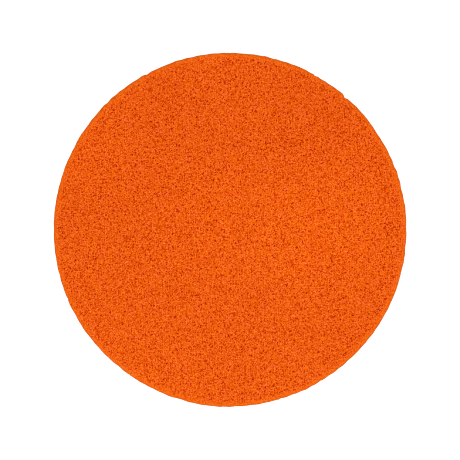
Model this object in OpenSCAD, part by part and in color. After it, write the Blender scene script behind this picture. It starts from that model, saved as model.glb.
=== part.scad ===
// Round foam polishing pad with a hook-and-loop backing.
// The pad lies on its loop pile with the polishing face up. The origin is the
// centre of the loop face, +Z points out of the polishing face. Millimetres.

/* [Foam disc] */
// Widest diameter of the foam
pad_d = 150; // [75:1:200]
// Thickness of the foam
foam_t = 25; // [12:0.5:50]
// Radius of the rounded edge round the polishing face
face_edge_r = 2.2; // [0.5:0.1:5]
// Radius of the trimmed edge round the bonded face
back_edge_r = 0.6; // [0.2:0.1:1.5]

/* [Backing] */
// How far the backing stops short of the foam's side wall
backing_inset = 2; // [0.5:0.5:6]
// Thickness of the solidified hot-melt film
glue_t = 0.3; // [0.1:0.05:1]
// How far the glue stops short of the cloth's cut edge
glue_setback = 0.4; // [0:0.1:1.5]
// Thickness of the knitted ground cloth
cloth_t = 0.6; // [0.3:0.1:1.2]
// Height of the loops that stand out of the ground cloth
pile_h = 1.8; // [0.8:0.1:3.5]
// How far the outermost loops stop short of the cloth's cut edge
pile_setback = 0.2; // [0:0.1:1.5]

/* [Hidden] */
$fn = 180;

pad_r = pad_d / 2;
cloth_r = pad_r - backing_inset;
glue_r = cloth_r - glue_setback;
pile_r = cloth_r - pile_setback;

// Each layer starts where the one below it ends.
cloth_z = pile_h;
glue_z = cloth_z + cloth_t;
foam_z = glue_z + glue_t;

// A flat layer of the backing.
module layer(r, z, t) {
    translate([0, 0, z]) cylinder(r = r, h = t);
}

// Half of the foam's cross-section: a slab with a large round at the top
// corner and a small one at the bottom corner.
module foam_section() {
    translate([0, back_edge_r]) square([pad_r, foam_t - face_edge_r - back_edge_r]);
    square([pad_r - back_edge_r, foam_t / 2]);
    translate([0, foam_t / 2]) square([pad_r - face_edge_r, foam_t / 2]);
    intersection() {
        translate([pad_r - face_edge_r, foam_t - face_edge_r]) circle(r = face_edge_r);
        translate([0, foam_t / 2]) square([pad_r, foam_t / 2]);
    }
    intersection() {
        translate([pad_r - back_edge_r, back_edge_r]) circle(r = back_edge_r);
        square([pad_r, foam_t / 2]);
    }
}

// Open-cell polyurethane foam, the working part of the pad.
module foam_disc() {
    color([0.92, 0.36, 0.07])
        translate([0, 0, foam_z]) rotate_extrude() foam_section();
}

// Hot-melt film that bonds the foam to the cloth.
module adhesive_film() {
    color([0.85, 0.80, 0.62]) layer(glue_r, glue_z, glue_t);
}

// Warp-knitted cloth that carries the loops.
module ground_cloth() {
    color([0.20, 0.20, 0.22]) layer(cloth_r, cloth_z, cloth_t);
}

// Envelope of the loops that the hooks of a backing plate grip.
module loop_pile() {
    color([0.27, 0.27, 0.30]) layer(pile_r, 0, pile_h);
}

foam_disc();
adhesive_film();
ground_cloth();
loop_pile();
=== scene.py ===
"""Looks for the polishing pad: foam with open cells, a glue line, knitted cloth and its loops."""

import math

import bpy
import numpy as np
from mathutils import Euler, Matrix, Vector


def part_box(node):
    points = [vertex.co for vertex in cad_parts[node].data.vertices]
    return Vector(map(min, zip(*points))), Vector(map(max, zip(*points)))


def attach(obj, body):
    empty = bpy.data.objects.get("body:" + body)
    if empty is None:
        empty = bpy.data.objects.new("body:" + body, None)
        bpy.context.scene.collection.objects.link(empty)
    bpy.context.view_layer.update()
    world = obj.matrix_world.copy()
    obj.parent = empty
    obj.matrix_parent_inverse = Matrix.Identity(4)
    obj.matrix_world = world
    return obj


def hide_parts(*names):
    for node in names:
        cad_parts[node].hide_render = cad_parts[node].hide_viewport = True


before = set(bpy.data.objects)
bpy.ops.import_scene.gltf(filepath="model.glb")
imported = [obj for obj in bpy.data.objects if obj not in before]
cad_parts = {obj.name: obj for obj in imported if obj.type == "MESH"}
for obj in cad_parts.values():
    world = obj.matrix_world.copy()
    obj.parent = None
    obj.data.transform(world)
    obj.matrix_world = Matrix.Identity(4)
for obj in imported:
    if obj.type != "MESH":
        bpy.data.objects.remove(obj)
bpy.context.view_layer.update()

MM = 0.001
TURN = 2 * math.pi

# ---------------------------------------------------------------- sizes, from the frame
foam_low, foam_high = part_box("foam_disc")
glue_low, glue_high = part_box("adhesive_film")
cloth_low, cloth_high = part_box("ground_cloth")
pile_low, pile_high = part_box("loop_pile")
PAD_R = foam_high.x
GLUE_R = glue_high.x
CLOTH_R = cloth_high.x
PILE_R = pile_high.x

# The foam's rounded edges, as they are in the CAD model.
FACE_EDGE_R = 2.2 * MM
BACK_EDGE_R = 0.6 * MM

# ---------------------------------------------------------------- foam
FOAM_STEP = 0.20 * MM      # distance between neighbouring vertices
SLIDE = 0.3                # how far a vertex may be off its place, as a share of that
# Small bubbles fill the foam. Their spacing, how far a centre strays and the smallest and largest
# radius as shares of the spacing, and how much commoner small ones are.
BUBBLES = {"cell": 0.64 * MM, "stray": 0.50, "radius": (0.28, 0.60), "bias": 1.2}
# Larger bubbles that the cut laid open, spread evenly over the surface, and the share that is there.
PORES = {"cell": 2.15 * MM, "stray": 0.60, "radius": (0.135, 0.225), "kept": 0.90}
HOLES = {"cell": 4.60 * MM, "stray": 0.90, "radius": (0.06, 0.11), "kept": 0.80}
PORE_SINK = (-0.3, 0.8)    # depth of the middle of a pore below the surface, as a share of its radius
ROW_WANDER = 0.40          # how far a row of pores wanders from its line, as a share of the spacing
ROW_WAVE = 9               # and how many pores it takes for one wave of that
WINDOW = 0.10              # overlap that opens one bubble to the next, as a share of the spacing
DEEPEST = 0.95 * MM        # how far a hole is followed
THIN_WALL_GLOW = 0.07 * MM           # a wall between bubbles is translucent when it is about this thin, and there it is painted lighter as a painted glow
TABLE = 48                 # the random bubbles repeat after this many cells
LATTICE_TILT = Euler((0.61, 0.37, 1.13)).to_matrix()
FACE_SMOOTH = 0.55         # depth of the cells on the rounded edge, as a share
# Where the rounded edge is rubbed smooth, and where it gets a painted light that makes up for the shade
# on its sloping part:
# how far inside the rim and how far below the face that starts and is complete, in radii of the edge.
SMOOTH_BAND = ((1.3, 0.5), (1.8, 1.0))
RIM_PAINTED_LIGHT_BAND = ((1.4, 0.1), (2.0, 0.0))
WAIST = 0.25 * MM          # how far a die-cut side wall draws in at half height
CUT_IN = 0.15 * MM         # how much smaller than the CAD model's the radius is, so that waves fit in
# Waves of a hand-guided cut round the rim: lowest and highest harmonic, and RMS size.
RIM_WAVES = ((2, 2, 0.07 * MM), (3, 10, 0.07 * MM), (11, 40, 0.05 * MM), (41, 120, 0.05 * MM))
# Small pieces torn out of the rim: degrees from +X towards +Y, and how deep.
RIM_NICKS = ((61, 0.55 * MM), (49, 0.50 * MM), (118, 0.25 * MM), (203, 0.30 * MM), (287, 0.25 * MM))
NICK_WIDTH = 0.7 * MM      # half width of a nick along the rim
NICK_HEIGHT = 2.4 * MM     # half height of a nick
FOAM_BACK = (0.97, 0.8, 0.5, 0.2)   # rings of vertices on the foam's back, as shares of its radius
PLAIN_BACK = 0.3           # the foam is plain up to this height, in radii of its back edge
CHART_GAP = 0.8 * MM       # free space between the parts of a bake chart
CHUNK = 60_000             # points that are worked out at a time, to save memory
FAR = 9.0                  # more steps of a lattice than any bubble is away

# ---------------------------------------------------------------- backing
LAYER_BACK = (0.98, 0.9, 0.6, 0.3)  # the same for the glue and the cloth
GLUE_STEP = 0.9 * MM
GLUE_BEAD = 0.35 * MM      # how far the glue squeezes out between foam and cloth, here and there
GLUE_WAVES = ((3, 12, 0.10 * MM), (13, 60, 0.09 * MM), (61, 170, 0.06 * MM))
CLOTH_STEP = 0.32 * MM
CLOTH_EDGE = 0.25          # radius of the cloth's edges, as a share of its thickness
CLOTH_WAVES = ((2, 9, 0.05 * MM), (10, 80, 0.04 * MM), (300, 480, 0.06 * MM))
WALE = 1.15 * MM           # width of one column of knitted stitches
COURSE = 0.90 * MM         # height of one row of stitches
STITCH = 0.11 * MM         # height of a stitch above the middle of its relief
STITCH_RISE = 0.45         # how far the arms of a stitch rise, in courses
LOOP_PITCH = 1.25 * MM     # distance between neighbouring loops
LOOP_STRAY = 0.10          # how far a loop is off its place, as a share of that
EDGE_LOOPS = ((0.65 * MM, 0.85 * MM), (1.55 * MM, 0.95 * MM))  # distance from the cut edge, and pitch
EDGE_STRAY = 0.3           # how far these are off their places along the edge, as a share of the pitch,
EDGE_STRAY_MM = 0.1        # and across it, in mm
LOOP_WIDTH = (0.70 * MM, 1.15 * MM)
LOOP_BULGE = 0.30          # how much wider a loop is half-way up than at its feet
LOOP_CROWN = 0.8           # power of the sine that shapes a loop, which is flatter on top below 1
LOOP_SHORT = 0.30 * MM     # how much shorter the shortest loop is
LOOP_LEAN = 0.22 * MM      # how far the top of a loop leans
LOOP_TURN = 0.5            # how far a loop is turned from the rows, in radians
LOOP_SINK = 0.22 * MM      # how deep the feet of a loop go into the cloth
YARN_R = 0.145 * MM        # radius of the yarn of a loop
YARN_SPREAD = (0.85, 1.15)  # radius of the thinnest and the thickest loop's yarn, as shares of that
YARN_SIDES = 4
LOOP_STEPS = 7             # straight pieces in the arch of one loop
END_SIZE = 0.4             # size of a loop's ends on its bake chart, in rows of its wall
CHART_SHARE = 0.86         # share of a cell of the bake chart that a loop takes up

rng = np.random.default_rng(7)


def smoothstep(low, high, x):
    """0 below low, 1 above high and a smooth rise between them."""
    t = np.clip((x - low) / (high - low), 0, 1)
    return t * t * (3 - 2 * t)


def within(ends, share):
    """The number that is this share of the way from ends[0] to ends[1]."""
    return ends[0] + (ends[1] - ends[0]) * share


def ring_indices(k):
    """Indices of ring k in a disc where ring k has 6 k vertices, round the vertex 0."""
    return 1 + 3 * k * (k - 1) + np.arange(6 * k) if k else np.zeros(1, int)


def disc_triangles(rings):
    """Triangles that join each ring of a disc to the next one."""
    made = []
    for k in range(rings):
        inner, outer = ring_indices(k), ring_indices(k + 1)
        sector = np.repeat(np.arange(6), k + 1)
        place = np.tile(np.arange(k + 1), 6)
        a = inner[(sector * k + place) % len(inner)]
        b = outer[sector * (k + 1) + place]
        c = outer[(sector * (k + 1) + place + 1) % len(outer)]
        made.append(np.stack([a, b, c], 1))
        if k:
            sector = np.repeat(np.arange(6), k)
            place = np.tile(np.arange(k), 6)
            a = inner[sector * k + place]
            b = outer[(sector * (k + 1) + place + 1) % len(outer)]
            c = inner[(sector * k + place + 1) % len(inner)]
            made.append(np.stack([a, b, c], 1))
    return np.concatenate(made)


def disc_points(rings):
    """Radius (0 to 1) and angle of each vertex of the disc."""
    radius, angle = [np.zeros(1)], [np.zeros(1)]
    for k in range(1, rings + 1):
        radius.append(np.full(6 * k, k / rings))
        angle.append(np.arange(6 * k) * TURN / (6 * k))
    return np.concatenate(radius), np.concatenate(angle)


def strip_quads(first, second):
    """Quads that join two closed rings of equal length, given as index arrays."""
    return np.stack([first, second, np.roll(second, -1), np.roll(first, -1)], 1)


def mesh_object(name, points, faces, chart=None):
    """A smooth-shaded mesh object from an array of points and a list of face arrays, with the place
    of each face corner on the square that its colours are baked to."""
    mesh = bpy.data.meshes.new(name)
    counts = np.concatenate([np.full(len(f), f.shape[1]) for f in faces])
    corners = np.concatenate([f.ravel() for f in faces])
    mesh.vertices.add(len(points))
    mesh.vertices.foreach_set("co", np.asarray(points, np.float32).ravel())
    mesh.loops.add(len(corners))
    mesh.loops.foreach_set("vertex_index", corners.astype(np.int32))
    mesh.polygons.add(len(counts))
    mesh.polygons.foreach_set("loop_start", (np.cumsum(counts) - counts).astype(np.int32))
    if chart is not None:
        mesh.uv_layers.new(name="OFBake").data.foreach_set("uv", chart.astype(np.float32).ravel())
    mesh.update(calc_edges=True)
    mesh.validate()
    mesh.shade_smooth()
    made = bpy.data.objects.new(name, mesh)
    bpy.context.scene.collection.objects.link(made)
    return made


def point_value(piece, name, values):
    """Keeps one number for each vertex of the piece, for its material."""
    kept = piece.data.attributes.new(name, "FLOAT", "POINT")
    kept.data.foreach_set("value", values.astype(np.float32))


def bubble_depth(points, inward, table, cell, stray, radius, bias):
    """How far each point sinks along inward into the bubbles that the surface cuts open, and how
    far it is from the nearest bubble."""
    tilt = np.array(LATTICE_TILT)
    spots, into = points / cell @ tilt, inward @ tilt
    steps = np.stack(np.meshgrid(*[np.arange(-1, 2)] * 3, indexing="ij"), -1).reshape(-1, 3)
    sunk, beside = np.zeros(len(points)), np.zeros(len(points))
    for first in range(0, len(points), CHUNK):
        p, m = spots[first:first + CHUNK], into[first:first + CHUNK]
        home = np.floor(p).astype(int)
        starts, ends, away = [], [], []
        for step in steps:
            place = home + step
            dice = table[tuple((place % TABLE).T)]
            gap = place + 0.5 + stray * (dice[:, :3] - 0.5) - p
            size = within(radius, dice[:, 3] ** bias)
            below = (gap * m).sum(1)
            apart = (gap**2).sum(1)
            half = size**2 - apart + below**2
            inside = half > 0
            half = np.sqrt(np.where(inside, half, 0))
            starts.append(np.where(inside, below - half, FAR))
            ends.append(np.where(inside, below + half, 0.0))
            away.append(np.sqrt(apart) - size)
        starts, ends = np.stack(starts, 1), np.stack(ends, 1)
        deep = np.where(starts < 0, ends, 0).max(1).clip(0)
        # Bubbles that open into each other are followed for two more steps.
        for _ in range(2):
            deep = np.maximum(deep, np.where(starts < deep[:, None] - WINDOW, ends, 0).max(1))
        sunk[first:first + CHUNK] = deep
        beside[first:first + CHUNK] = np.stack(away, 1).min(1).clip(0)
    return sunk * cell, beside * cell


def pore_depth(spots, table, cell, stray, radius, kept):
    """How far each point of the surface, given as distances along it, sinks into an open pore, and
    how far it is from the nearest one."""
    spots = spots / cell
    # The rows wander and every second one is half a step along, so that no grid shows.
    spots = spots + ROW_WANDER * np.sin(spots[:, ::-1] * TURN / ROW_WAVE)
    home = np.floor(spots).astype(int)
    sunk, beside = np.zeros(len(spots)), np.full(len(spots), FAR)
    for step in np.stack(np.meshgrid([-1, 0, 1], [-1, 0, 1]), -1).reshape(-1, 2):
        place = home + step
        dice = table[tuple((place % TABLE).T)].T
        half_step = np.outer(place[:, 1] % 2, [0.5, 0])
        gap = place + 0.5 + half_step + stray * (dice[:2].T - 0.5) - spots
        size = within(radius, dice[2])
        apart = (gap**2).sum(1)
        below = size * within(PORE_SINK, dice[3])
        mouth = np.sqrt(size**2 - below**2)
        open_here = (dice[4] < kept) & (apart < mouth**2)
        half = np.sqrt(np.where(open_here, size**2 - apart, 0))
        sunk = np.maximum(sunk, np.where(open_here, below + half, 0))
        beside = np.minimum(beside, np.where(dice[4] < kept, np.sqrt(apart) - mouth, FAR))
    return sunk * cell, beside.clip(0) * cell


def edge_wave(angle, bands):
    """A smooth closed wave round the pad, made of bands of harmonics (lowest, highest, RMS size)."""
    total = 0
    for lowest, highest, size in bands:
        orders = np.arange(lowest, highest + 1)
        strength = rng.normal(size=(2, len(orders)))
        strength *= size / math.sqrt((strength**2).sum() / 2)
        turns = angle[:, None] * orders
        total = total + np.cos(turns) @ strength[0] + np.sin(turns) @ strength[1]
    return total


def polar(radius, angle):
    return np.stack([radius * np.cos(angle), radius * np.sin(angle)], -1)


def bake_chart(triangles, spread, angle, reach, back, wall, around):
    """Bake chart of a round solid, in the order of its face corners. The face with its rounded edge
    is a disc, the side wall is two strips beside it and the back is a small disc below.

    spread and angle place the face's points, reach is each section row's distance along the surface
    from the middle of the face, back its distance from the axis, and the side wall is the rows from
    wall[0] to wall[1]."""
    first, last = wall
    face_r, wide = reach[first], reach[last] - reach[first]
    size = 2 * face_r + 2 * wide + 4 * CHART_GAP
    middle = np.array([CHART_GAP + face_r, size - CHART_GAP - face_r])
    face = middle + polar(spread, angle)[triangles.ravel()]
    rows = np.repeat(np.arange(len(reach) - 1), around)[:, None] + [0, 1, 1, 0]
    places = np.tile(np.arange(around), len(reach) - 1)[:, None] + [0, 0, 1, 1]
    turns = places * TURN / around
    half = places[:, :1] // (around // 2)
    across = 2 * (CHART_GAP + face_r) + half * (wide + CHART_GAP) + reach[rows] - face_r
    along = (2 * places / around - half) * (size - 2 * CHART_GAP) + CHART_GAP
    under_r = max(size - 2 * face_r - 3 * CHART_GAP, CHART_GAP) / 2
    under_middle = under_r + CHART_GAP
    under = under_middle + polar(under_r * (back / back[last])[rows], -turns)
    row = rows[:, :1, None]
    beside = np.where(row < last, np.stack([across, along], -1), under)
    quads = np.where(row < first, middle + polar(reach[rows], turns), beside).reshape(-1, 2)
    rim = under[-around:, [1, 2]]
    fan = np.stack([rim[:, 0], np.full_like(rim[:, 0], under_middle), rim[:, 1]], 1).reshape(-1, 2)
    return np.concatenate([face, quads, fan]) / size


def round_solid(face_r, face_z, rings, section, wall):
    """A closed round solid: a finely divided face, then section rows (radius, height, normal out,
    normal up) over the side to the back, of which wall names the first and last on the side wall.

    Gives its points, outward normals, faces, angle round the axis, the surface laid out flat with
    the face as a disc and the side wall as a strip, and its bake chart."""
    around = 6 * rings
    share, angle = disc_points(rings)
    section = np.array(section, float)
    turns = np.tile(np.arange(around) * TURN / around, len(section))
    spread = share * face_r
    count = len(share)
    radius = np.concatenate([spread, np.repeat(section[:, 0], around), [0]])
    height = np.concatenate([np.full(count, face_z), np.repeat(section[:, 1], around), [section[-1, 1]]])
    out = np.concatenate([np.zeros(count), np.repeat(section[:, 2], around), [0]])
    up = np.concatenate([np.ones(count), np.repeat(section[:, 3], around), [-1]])
    angle = np.concatenate([angle, turns, [0]])
    points = np.column_stack([polar(radius, angle), height])
    normals = np.column_stack([polar(out, angle), up])
    rows = [ring_indices(rings)] + [count + r * around + np.arange(around) for r in range(len(section))]
    quads = np.concatenate([strip_quads(a, b) for a, b in zip(rows, rows[1:])])
    middle = np.full(around, len(points) - 1)
    faces = [disc_triangles(rings), quads, np.stack([rows[-1], middle, np.roll(rows[-1], -1)], 1)]
    down = np.hypot(*np.diff(np.vstack([[face_r, face_z], section[:, :2]]), axis=0).T).cumsum()
    reach = face_r + np.concatenate([[0], down])
    back = np.concatenate([[face_r], section[:, 0]])
    chart = bake_chart(faces[0], spread, angle[:count], reach, back, wall, around)
    far = np.concatenate([spread, np.repeat(reach[1:], around), [0]])
    strip = np.stack([angle * section[wall[0], 0], far + 4 * face_r], 1)
    unrolled = np.where((far > reach[wall[0]])[:, None], strip, polar(far, angle))
    return points, normals, faces, angle, unrolled, chart


def rounded(radius, height, edge_r, steps, turn_from, turn_to):
    """Section rows round an edge of radius edge_r whose centre is at (radius, height). Turns are
    from 0, pointing up, to pi, pointing down."""
    turns = np.linspace(turn_from, turn_to, steps + 1)[1:]
    return [(radius + edge_r * math.sin(t), height + edge_r * math.cos(t), math.sin(t), math.cos(t))
            for t in turns]


def foam_surface():
    """The smooth foam disc as round_solid gives it."""
    top, bottom = foam_high.z, foam_low.z
    face_r, back_r = PAD_R - FACE_EDGE_R, PAD_R - BACK_EDGE_R
    edge_steps = round(FACE_EDGE_R * math.pi / 2 / FOAM_STEP)
    section = rounded(face_r, top - FACE_EDGE_R, FACE_EDGE_R, edge_steps, 0, math.pi / 2)
    wall = (top - FACE_EDGE_R) - (bottom + BACK_EDGE_R)
    wall_steps = round(wall / FOAM_STEP)
    for down in np.linspace(0, wall, wall_steps + 1)[1:]:
        section.append((PAD_R, top - FACE_EDGE_R - down, 1, 0))
    section += rounded(back_r, bottom + BACK_EDGE_R, BACK_EDGE_R, 5, math.pi / 2, math.pi)
    section += [(back_r * inner, bottom, 0, -1) for inner in FOAM_BACK]
    rings = round(face_r / FOAM_STEP)
    return round_solid(face_r, top, rings, section, (edge_steps, edge_steps + wall_steps + 5))


def foam_cells(points, normals, unrolled, seen):
    """How deep each point lies in a cell that the cut laid open, and how far it is from one. Points
    that the glue covers, which seen leaves out, are plain."""
    depth, wall = np.zeros(len(points)), np.ones(len(points))
    found = [bubble_depth(points[seen], -normals[seen], rng.random((TABLE, TABLE, TABLE, 4)), **BUBBLES)]
    for pores in (PORES, HOLES):
        table = rng.random((TABLE, TABLE, 5))
        found.append(pore_depth(unrolled[seen], table, **pores))
    depth[seen] = np.minimum(np.max([deep for deep, _ in found], 0), DEEPEST)
    wall[seen] = np.min([beside for _, beside in found], 0)
    return depth, wall


def foam_shrink(points, radius, angle):
    """How far the rim and the side wall lie inside the CAD model's: a shallow waist, the small waves
    of the cut and the nicks."""
    rise = (points[:, 2] - foam_low.z) / (foam_high.z - foam_low.z)
    waist = WAIST * np.sin(math.pi * np.clip(rise, 0, 1)) ** 2
    shrink = waist - edge_wave(angle, RIM_WAVES) + CUT_IN
    shrink *= smoothstep(0.9, 1, radius / PAD_R)
    for degrees, nick in RIM_NICKS:
        beside = (angle - math.radians(degrees) + math.pi) % TURN - math.pi
        above = points[:, 2] - foam_high.z + FACE_EDGE_R
        shrink += nick * np.exp(-(beside * radius / NICK_WIDTH) ** 2 - (above / NICK_HEIGHT) ** 2)
    return shrink


def edge_share(radius, height, band):
    """0 away from the foam's rounded edge and 1 on it, with a smooth rise in the band."""
    inside, below = band
    across = smoothstep(PAD_R - inside[0] * FACE_EDGE_R, PAD_R - inside[1] * FACE_EDGE_R, radius)
    top = foam_high.z
    return across * smoothstep(top - below[0] * FACE_EDGE_R, top - below[1] * FACE_EDGE_R, height)


def foam_piece():
    points, normals, faces, angle, unrolled, chart = foam_surface()
    radius = np.hypot(points[:, 0], points[:, 1])
    seen = points[:, 2] > foam_low.z + PLAIN_BACK * BACK_EDGE_R
    # Slide the vertices about a little, so that their rings don't show.
    slide = rng.uniform(-SLIDE, SLIDE, points.shape) * FOAM_STEP
    slide -= normals * (slide * normals).sum(1)[:, None]
    points = points + slide * seen[:, None]
    depth, wall = foam_cells(points, normals, unrolled, seen)
    depth *= 1 - (1 - FACE_SMOOTH) * edge_share(radius, points[:, 2], SMOOTH_BAND)
    sunk = points - normals * depth[:, None]
    sunk[:, :2] *= (1 - foam_shrink(points, radius, angle) / np.maximum(radius, PAD_R / 2))[:, None]
    foam = mesh_object("foam", sunk, faces, chart)
    # Painted shade and glow: 0, painted darkest, in the deepest pores, 0.5 on plain solid and 1, painted
    # lightest as a glow, where a wall between bubbles is thinnest.
    tone = 0.5 - 0.5 * depth / DEEPEST + 0.5 * np.exp(-wall / THIN_WALL_GLOW) * (depth <= 0)
    point_value(foam, "painted_pore_shade_and_glow", tone)
    # Where the rounded edge gets its painted light.
    point_value(foam, "rim", edge_share(radius, points[:, 2], RIM_PAINTED_LIGHT_BAND))
    return foam


# ---------------------------------------------------------------- glue, cloth and loops
def turned_over(points):
    """Points turned half a turn about the X axis."""
    return points * [1, -1, -1]


def glue_piece():
    """The glue film: thin and flat, with a bead that squeezes out unevenly round its edge."""
    thick = glue_high.z - glue_low.z
    face_r = GLUE_R - thick
    rings = round(face_r / GLUE_STEP)
    bead = rounded(face_r + thick / 2, glue_high.z - thick / 2, thick / 2, 8, 0, math.pi)
    section = bead + [(face_r * inner, glue_low.z, 0, -1) for inner in LAYER_BACK]
    points, _, faces, angle, _, chart = round_solid(face_r, glue_high.z, rings, section, (2, 8))
    radius = np.hypot(points[:, 0], points[:, 1])
    grow = np.clip(edge_wave(angle, GLUE_WAVES), -GLUE_BEAD, GLUE_BEAD)
    grow *= smoothstep(face_r - 3 * thick, face_r + thick, radius)
    points[:, :2] += polar(grow, angle)
    return mesh_object("glue_film", points, faces, chart)


def stitch_height(x, y):
    """Relief of plain knitting, from -0.6 to 1: columns of V shapes, one stitch above the next."""
    across = x / WALE % 1 - 0.5
    arm = np.abs(across) * 2
    along = y / COURSE - STITCH_RISE * (1 - arm)
    rib = np.cos(math.pi * (arm - 0.5)) ** 2
    return rib * (0.9 + 0.7 * np.cos(TURN * along)) - 0.6


def cloth_piece():
    """The knitted ground cloth. Its stitches show between the loops on the side away from the foam,
    so it is built with that side up and then turned over."""
    low, high = -cloth_high.z, -cloth_low.z
    edge_r = CLOTH_EDGE * (high - low)
    face_r = CLOTH_R - edge_r
    rings = round(face_r / CLOTH_STEP)
    section = rounded(face_r, high - edge_r, edge_r, 3, 0, math.pi / 2)
    section += [(CLOTH_R, high - edge_r - (high - low - 2 * edge_r) * down, 1, 0) for down in (0.5, 1)]
    section += rounded(face_r, low + edge_r, edge_r, 3, math.pi / 2, math.pi)
    section += [(face_r * inner, low, 0, -1) for inner in LAYER_BACK]
    points, normals, faces, angle, _, chart = round_solid(face_r, high, rings, section, (3, 8))
    radius = np.hypot(points[:, 0], points[:, 1])
    relief = STITCH * (stitch_height(points[:, 0], points[:, 1]) - 1) * (normals[:, 2] > 0.3)
    points += normals * relief[:, None]
    grow = edge_wave(angle, CLOTH_WAVES) * smoothstep(face_r - WALE, CLOTH_R, radius)
    points[:, :2] += polar(grow, angle)
    cloth = mesh_object("ground_cloth_knit", turned_over(points), faces, chart)
    # The height of each stitch, for painted shade in its hollows and painted light on its top.
    point_value(cloth, "stitch", 1 + relief / (2 * STITCH))
    return cloth


def loop_feet():
    """Where the loops stand: staggered rows, a little uneven, that crowd together at the cut edge."""
    row_pitch = LOOP_PITCH * math.sqrt(3) / 2
    rows = np.arange(-math.ceil(PILE_R / row_pitch), math.ceil(PILE_R / row_pitch) + 1)
    places = np.arange(-math.ceil(PILE_R / LOOP_PITCH), math.ceil(PILE_R / LOOP_PITCH) + 1)
    row, place = (grid.ravel() for grid in np.meshgrid(rows, places, indexing="ij"))
    spots = np.stack([(place + row % 2 / 2) * LOOP_PITCH, row * row_pitch], 1)
    spots += rng.normal(0, LOOP_STRAY * LOOP_PITCH, spots.shape)
    found = [spots[np.hypot(*spots.T) < PILE_R - EDGE_LOOPS[-1][0] - LOOP_PITCH / 2]]
    for inside, pitch in EDGE_LOOPS:
        count = round(TURN * (PILE_R - inside) / pitch)
        angle = (np.arange(count) + rng.uniform(-EDGE_STRAY, EDGE_STRAY, count)) * TURN / count
        radius = PILE_R - inside + rng.uniform(-EDGE_STRAY_MM, EDGE_STRAY_MM, count) * MM
        found.append(polar(radius, angle))
    return np.concatenate(found)


def loop_points():
    """Points of every loop: an arch of yarn with its own width, turn and lean, whose feet are in the
    cloth. Indices are loop, place along the arch, place round the yarn and axis."""
    spots = loop_feet()
    count = len(spots)
    turn = rng.normal(0, LOOP_TURN, count)
    wide = rng.uniform(*LOOP_WIDTH, count)
    tall = (cloth_low.z - pile_low.z) - YARN_R - rng.uniform(0, LOOP_SHORT, count) + LOOP_SINK
    lean = rng.normal(0, LOOP_LEAN, (count, 2))
    arch = np.linspace(0, math.pi, LOOP_STEPS + 1)
    # Along the arch: across the loop, away from the cloth, and the share of the lean.
    across = np.cos(arch) * (1 + LOOP_BULGE * np.sin(arch)) * wide[:, None] / 2
    away = np.sin(arch) ** LOOP_CROWN * tall[:, None]
    leaning = (away / tall[:, None])[..., None] * lean[:, None]
    axis = polar(1.0, turn)
    path = np.concatenate([spots[:, None] + across[..., None] * axis[:, None] + leaning,
                           (cloth_low.z + LOOP_SINK - away)[..., None]], -1)
    along = np.gradient(path, axis=1)
    along /= np.linalg.norm(along, axis=-1, keepdims=True)
    flat = np.column_stack([-axis[:, 1], axis[:, 0], np.zeros(count)])
    side = np.cross(along, flat[:, None])
    side /= np.linalg.norm(side, axis=-1, keepdims=True)
    other = np.cross(along, side)
    around = (np.arange(YARN_SIDES) + 0.5) * TURN / YARN_SIDES
    thick = YARN_R * rng.uniform(*YARN_SPREAD, count)[:, None, None, None]
    ring = np.cos(around)[:, None] * side[:, :, None] + np.sin(around)[:, None] * other[:, :, None]
    return path[:, :, None] + thick * ring


def loop_faces():
    """Faces of one loop and where their corners lie on a unit square."""
    first = np.arange(LOOP_STEPS)[:, None] * YARN_SIDES + np.arange(YARN_SIDES)
    second = np.arange(LOOP_STEPS)[:, None] * YARN_SIDES + (np.arange(YARN_SIDES) + 1) % YARN_SIDES
    wall = np.stack([first, second, second + YARN_SIDES, first + YARN_SIDES], -1).reshape(-1, 4)
    near = np.arange(YARN_SIDES)
    ends = np.array([near[::-1], near + LOOP_STEPS * YARN_SIDES])
    # The wall takes up the square's lower rows and the two ends lie side by side above it.
    rows = LOOP_STEPS + 2
    u = np.arange(YARN_SIDES)[None, :, None] + np.array([0, 1, 1, 0])
    v = np.arange(LOOP_STEPS)[:, None, None] + np.array([0, 0, 1, 1])
    u, v = np.broadcast_arrays(u / YARN_SIDES, v / rows)
    end = np.array([[0, 0], [1, 0], [1, 1], [0, 1]]) * END_SIZE / rows
    height = (LOOP_STEPS + END_SIZE) / rows
    end_charts = [end + [0.1, height], end + [0.6, height]]
    chart = np.concatenate([np.stack([u, v], -1).reshape(-1, 4, 2), end_charts])
    return np.concatenate([wall, ends]), chart


def pile_pieces():
    """The loops that the hooks of a backing plate hold, as four meshes, one for each quarter of the
    pad, so that each is small enough to be exported whole."""
    points = loop_points()
    shade = rng.random(len(points))
    one, unit = loop_faces()
    middle = points.mean((1, 2))
    quarter = (middle[:, 0] < 0) * 2 + (middle[:, 1] < 0)
    made = []
    for number in range(4):
        mine = points[quarter == number]
        count, size = len(mine), (LOOP_STEPS + 1) * YARN_SIDES
        faces = (one[None] + (np.arange(count) * size)[:, None, None]).reshape(-1, 4)
        cells = math.ceil(math.sqrt(count))
        place = np.stack([np.arange(count) % cells, np.arange(count) // cells], 1)
        margin = (1 - CHART_SHARE) / 2
        chart = ((place[:, None, None] + unit[None] * CHART_SHARE + margin) / cells).reshape(-1, 2)
        pile = mesh_object(f"loops_{number + 1}", mine.reshape(-1, 3), [faces], chart)
        point_value(pile, "loop_shade", np.repeat(shade[quarter == number], size))
        made.append(pile)
    return made


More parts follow.
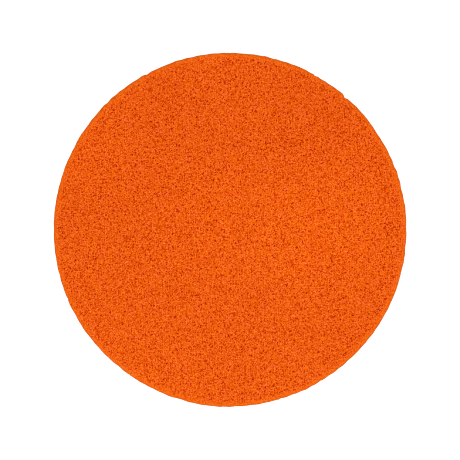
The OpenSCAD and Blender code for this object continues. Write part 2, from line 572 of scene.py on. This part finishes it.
# ---------------------------------------------------------------- materials
# Each list of colours holds (place on the ramp, linear colour).
# The foam's colours: the dark end is painted shade in the deep pores and the pale end a painted glow on
# its thinnest walls, around the foam's own orange.
FOAM_COLOURS = (
    (0.0, (0.46, 0.008, 0.0)),
    (0.25, (0.61, 0.047, 0.0)),
    (0.5, (0.76, 0.097, 0.002)),
    (0.75, (0.905, 0.147, 0.0135)),
    (1.0, (1.0, 0.205, 0.038)),
)
GRAIN_SIZE = 0.60 * MM
GRAIN = 0.54               # how far the grain of the foam moves a point along the foam's colours
# The foam is a little darker and redder in some parts of the pad: large soft patches that are partly
# painted uneven light and partly uneven dye.
SHADE = ((0.2, (0.960, 0.923, 1.0)), (0.8, (1.040, 1.077, 1.0)))
SHADE_SIZE = 44 * MM
SHADE_SEED = 156.0
# The dye isn't quite even: some patches lean to yellow and some to pink.
DYE = ((0.3, (1.0, 0.96, 1.5)), (0.7, (1.0, 1.04, 0.5)))
DYE_SIZE = 4 * MM
# The rounded edge is rubbed smoother; its colour is mixed towards a painted light, paler and fuller,
# that makes up for the shade on its sloping part.
RIM_PAINTED_LIGHT = (1.0, 0.178, 0.006, 1)
RIM_PAINTED_LIGHT_SHARE = 0.42
GLUE_COLOURS = (
    (0.3, (0.52, 0.40, 0.20)),
    (0.5, (0.68, 0.57, 0.34)),
    (0.7, (0.80, 0.72, 0.50)),
)
GLUE_CLOUDS = 1.6 * MM     # size of the glue's cloudy patches
GLUE_BUMP = 0.05 * MM
GLUE_SHINE = 0.7 * MM      # size of its duller and shinier patches
GLUE_ROUGHNESS = (0.22, 0.55)
# On the cloth, the hollows of the stitches are painted towards the dark end as painted shade and their
# tops towards the pale end as painted light.
CLOTH_COLOURS = ((0.2, (0.024, 0.025, 0.028)), (0.8, (0.150, 0.155, 0.168)))
LOOP_COLOURS = ((0.2, (0.040, 0.042, 0.047)), (0.8, (0.190, 0.195, 0.210)))
FIBRE_SIZE = 0.10 * MM
FIBRE_ROUGHNESS = (0.75, 1.0)
FIBRE_BUMP = 0.04 * MM
WEAR_SIZE = 5 * MM         # size of the slightly paler and darker patches of the yarn
# How far the patches, the height of a stitch (painted shade in its hollows and painted light on its top)
# and the random shade of a loop move a point along its colours.
WEAR = 0.15
STITCH_PAINTED_SHADE = 0.35
LOOP_TONE = 0.20


def new_material(name, roughness, specular=0.3, sheen=0.0):
    """A material with a Principled shader whose constants are set on its own sockets."""
    made = bpy.data.materials.new(name)
    made.use_nodes = True
    shader = made.node_tree.nodes["Principled BSDF"]
    shader.inputs["Roughness"].default_value = roughness
    shader.inputs["Specular IOR Level"].default_value = specular
    shader.inputs["Sheen Weight"].default_value = sheen
    return made, made.node_tree, shader


def noise(tree, size, detail=2.0, roughness=0.5, seed=0.0):
    """A noise texture in the object's own space, with lumps of about this size."""
    place = tree.nodes.new("ShaderNodeTexCoord")
    made = tree.nodes.new("ShaderNodeTexNoise")
    made.noise_dimensions = "4D"
    made.inputs["W"].default_value = seed
    made.inputs["Scale"].default_value = 1 / size
    made.inputs["Detail"].default_value = detail
    made.inputs["Roughness"].default_value = roughness
    tree.links.new(place.outputs["Object"], made.inputs["Vector"])
    return made.outputs["Fac"]


def between(tree, value, low, high):
    """value, from 0 to 1, stretched to run from low to high."""
    made = tree.nodes.new("ShaderNodeMapRange")
    made.inputs["To Min"].default_value = low
    made.inputs["To Max"].default_value = high
    tree.links.new(value, made.inputs["Value"])
    return made.outputs["Result"]


def math_node(tree, kind, first, second):
    made = tree.nodes.new("ShaderNodeMath")
    made.operation = kind
    for socket, value in zip(made.inputs, (first, second)):
        if isinstance(value, (int, float)):
            socket.default_value = value
        else:
            tree.links.new(value, socket)
    return made.outputs[0]


def ramp(tree, value, stops):
    """A colour ramp with stops given as (place, colour)."""
    made = tree.nodes.new("ShaderNodeValToRGB")
    ends = made.color_ramp.elements
    while len(ends) < len(stops):
        ends.new(0.5)
    for end, (place, colour) in zip(ends, stops):
        end.position = place
        end.color = (*colour, 1)
    tree.links.new(value, made.inputs["Fac"])
    return made.outputs["Color"]


def mixed(tree, kind, share, first, second):
    """Two colours mixed. share, first and second are each a value or a socket."""
    made = tree.nodes.new("ShaderNodeMix")
    made.data_type = "RGBA"
    made.blend_type = kind
    colours = [socket for socket in made.inputs if socket.type == "RGBA"]
    for socket, value in zip((made.inputs["Factor"], *colours), (share, first, second)):
        if isinstance(value, bpy.types.NodeSocket):
            tree.links.new(value, socket)
        else:
            socket.default_value = value
    return next(socket for socket in made.outputs if socket.type == "RGBA")


def kept_value(tree, name):
    """The number that point_value kept under this name."""
    made = tree.nodes.new("ShaderNodeAttribute")
    made.attribute_name = name
    return made.outputs["Fac"]


def foam_material():
    made, tree, shader = new_material("foam", 1.0, specular=0.0)
    grain = between(tree, noise(tree, GRAIN_SIZE, detail=0.0), -GRAIN, GRAIN)
    # Painted shade in the pores and painted glow on thin walls, with the foam's own grain added.
    colour = ramp(tree, math_node(tree, "ADD", kept_value(tree, "painted_pore_shade_and_glow"), grain), FOAM_COLOURS)
    shade = ramp(tree, noise(tree, SHADE_SIZE, detail=0.0, seed=SHADE_SEED), SHADE)
    colour = mixed(tree, "MULTIPLY", 1.0, colour, shade)
    dye = ramp(tree, noise(tree, DYE_SIZE, detail=4.0, roughness=0.62), DYE)
    colour = mixed(tree, "MULTIPLY", 1.0, colour, dye)
    # Painted light on the rounded edge.
    rim = between(tree, kept_value(tree, "rim"), 0, RIM_PAINTED_LIGHT_SHARE)
    tree.links.new(mixed(tree, "MIX", rim, colour, RIM_PAINTED_LIGHT), shader.inputs["Base Color"])
    return made


def bump(tree, shader, height, distance):
    made = tree.nodes.new("ShaderNodeBump")
    made.inputs["Strength"].default_value = 1.0
    made.inputs["Distance"].default_value = distance
    tree.links.new(height, made.inputs["Height"])
    tree.links.new(made.outputs["Normal"], shader.inputs["Normal"])


def glue_material():
    """Hot-melt film: pale amber with a cloudy, slightly uneven surface."""
    made, tree, shader = new_material("glue_film", 0.35, specular=0.5)
    clouds = noise(tree, GLUE_CLOUDS, detail=3.0)
    tree.links.new(ramp(tree, clouds, GLUE_COLOURS), shader.inputs["Base Color"])
    shine = between(tree, noise(tree, GLUE_SHINE), *GLUE_ROUGHNESS)
    tree.links.new(shine, shader.inputs["Roughness"])
    bump(tree, shader, clouds, GLUE_BUMP)
    return made


def yarn_material(name, colours, tone, strength):
    """Brushed polyester yarn: fine fibres, a soft sheen and a little difference by the kept value called
    tone:
    between stitches it is painted shade in their hollows and painted light on their tops, between loops
    a random tone."""
    made, tree, shader = new_material(name, 0.9, specular=0.25, sheen=0.35)
    shader.inputs["Sheen Roughness"].default_value = 0.4
    fibres = noise(tree, FIBRE_SIZE, detail=3.0, roughness=0.65)
    patches = between(tree, noise(tree, WEAR_SIZE), -WEAR, WEAR)
    value = math_node(tree, "ADD", fibres, patches)
    value = math_node(tree, "ADD", value, between(tree, kept_value(tree, tone), -strength, strength))
    tree.links.new(ramp(tree, value, colours), shader.inputs["Base Color"])
    tree.links.new(between(tree, fibres, *FIBRE_ROUGHNESS), shader.inputs["Roughness"])
    bump(tree, shader, fibres, FIBRE_BUMP)
    return made


def place_piece(piece, node, material):
    piece.data.materials.append(material)
    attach(piece, "root")
    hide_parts(node)


foam = foam_piece()
glue = glue_piece()
cloth = cloth_piece()
piles = pile_pieces()
cloth_material = yarn_material("ground_cloth", CLOTH_COLOURS, "stitch", STITCH_PAINTED_SHADE)
loop_material = yarn_material("loops", LOOP_COLOURS, "loop_shade", LOOP_TONE)
place_piece(foam, "foam_disc", foam_material())
place_piece(glue, "adhesive_film", glue_material())
place_piece(cloth, "ground_cloth", cloth_material)
for pile in piles:
    place_piece(pile, "loop_pile", loop_material)


# ---------------------------------------------------------------- floor, light and camera
FLOOR_SIZE = 8
FLOOR_COLOUR = (0.5, 0.5, 0.5, 1)
# Emission as the camera sees it, which makes the background white, and as it lights other surfaces.
FLOOR_GLOW = (0.80, 0.28)
SKY_GLOW = (1.0, 0.62)
LAMP_PLACE = (0.03, -0.16, 1.33)
LAMP_SIZE = 1.2
LAMP_WATTS = 10.1
CAMERA_DISTANCE = 1.1
VIEW_WIDTH = 194.9 * MM    # width of the picture at the height of the foam's widest part
VIEW_MIDDLE = (0.03 * MM, -0.09 * MM)
SENSOR = 36                # width of the camera's sensor, in Blender's millimetres


def two_strengths(tree, seen, lit):
    """seen where the camera looks straight at a surface, lit for the light that it gives to others."""
    path = tree.nodes.new("ShaderNodeLightPath")
    return between(tree, path.outputs["Is Camera Ray"], lit, seen)


def stage():
    bpy.ops.mesh.primitive_plane_add(size=FLOOR_SIZE, location=(0, 0, 0))
    floor = bpy.context.object
    floor.name = "floor"
    made, tree, shader = new_material("floor", 1.0, specular=0.0)
    shader.inputs["Base Color"].default_value = FLOOR_COLOUR
    shader.inputs["Emission Color"].default_value = (1, 1, 1, 1)
    tree.links.new(two_strengths(tree, *FLOOR_GLOW), shader.inputs["Emission Strength"])
    floor.data.materials.append(made)
    world = bpy.data.worlds.new("studio")
    bpy.context.scene.world = world
    world.use_nodes = True
    sky = world.node_tree.nodes["Background"]
    sky.inputs["Color"].default_value = (1, 1, 1, 1)
    world.node_tree.links.new(two_strengths(world.node_tree, *SKY_GLOW), sky.inputs["Strength"])
    key = bpy.data.lights.new("key", "AREA")
    key.shape = "DISK"
    key.size = LAMP_SIZE
    key.energy = LAMP_WATTS
    lamp = bpy.data.objects.new("key", key)
    lamp.location = LAMP_PLACE
    lamp.rotation_euler = Vector(lamp.location).to_track_quat("Z", "Y").to_euler()
    bpy.context.scene.collection.objects.link(lamp)


def camera():
    data = bpy.data.cameras.new("camera")
    data.sensor_width = SENSOR
    data.lens = SENSOR * CAMERA_DISTANCE / VIEW_WIDTH
    data.clip_start = 0.01
    data.clip_end = 20
    made = bpy.data.objects.new("camera", data)
    bpy.context.scene.collection.objects.link(made)
    made.location = (*VIEW_MIDDLE, foam_high.z - FACE_EDGE_R + CAMERA_DISTANCE)
    bpy.context.scene.camera = made


stage()
camera()
bpy.context.scene.view_settings.view_transform = "Standard"
bpy.context.scene.cycles.use_denoising = False  # it would smear the cells of the foam
bpy.context.scene.cycles.filter_width = 1.1
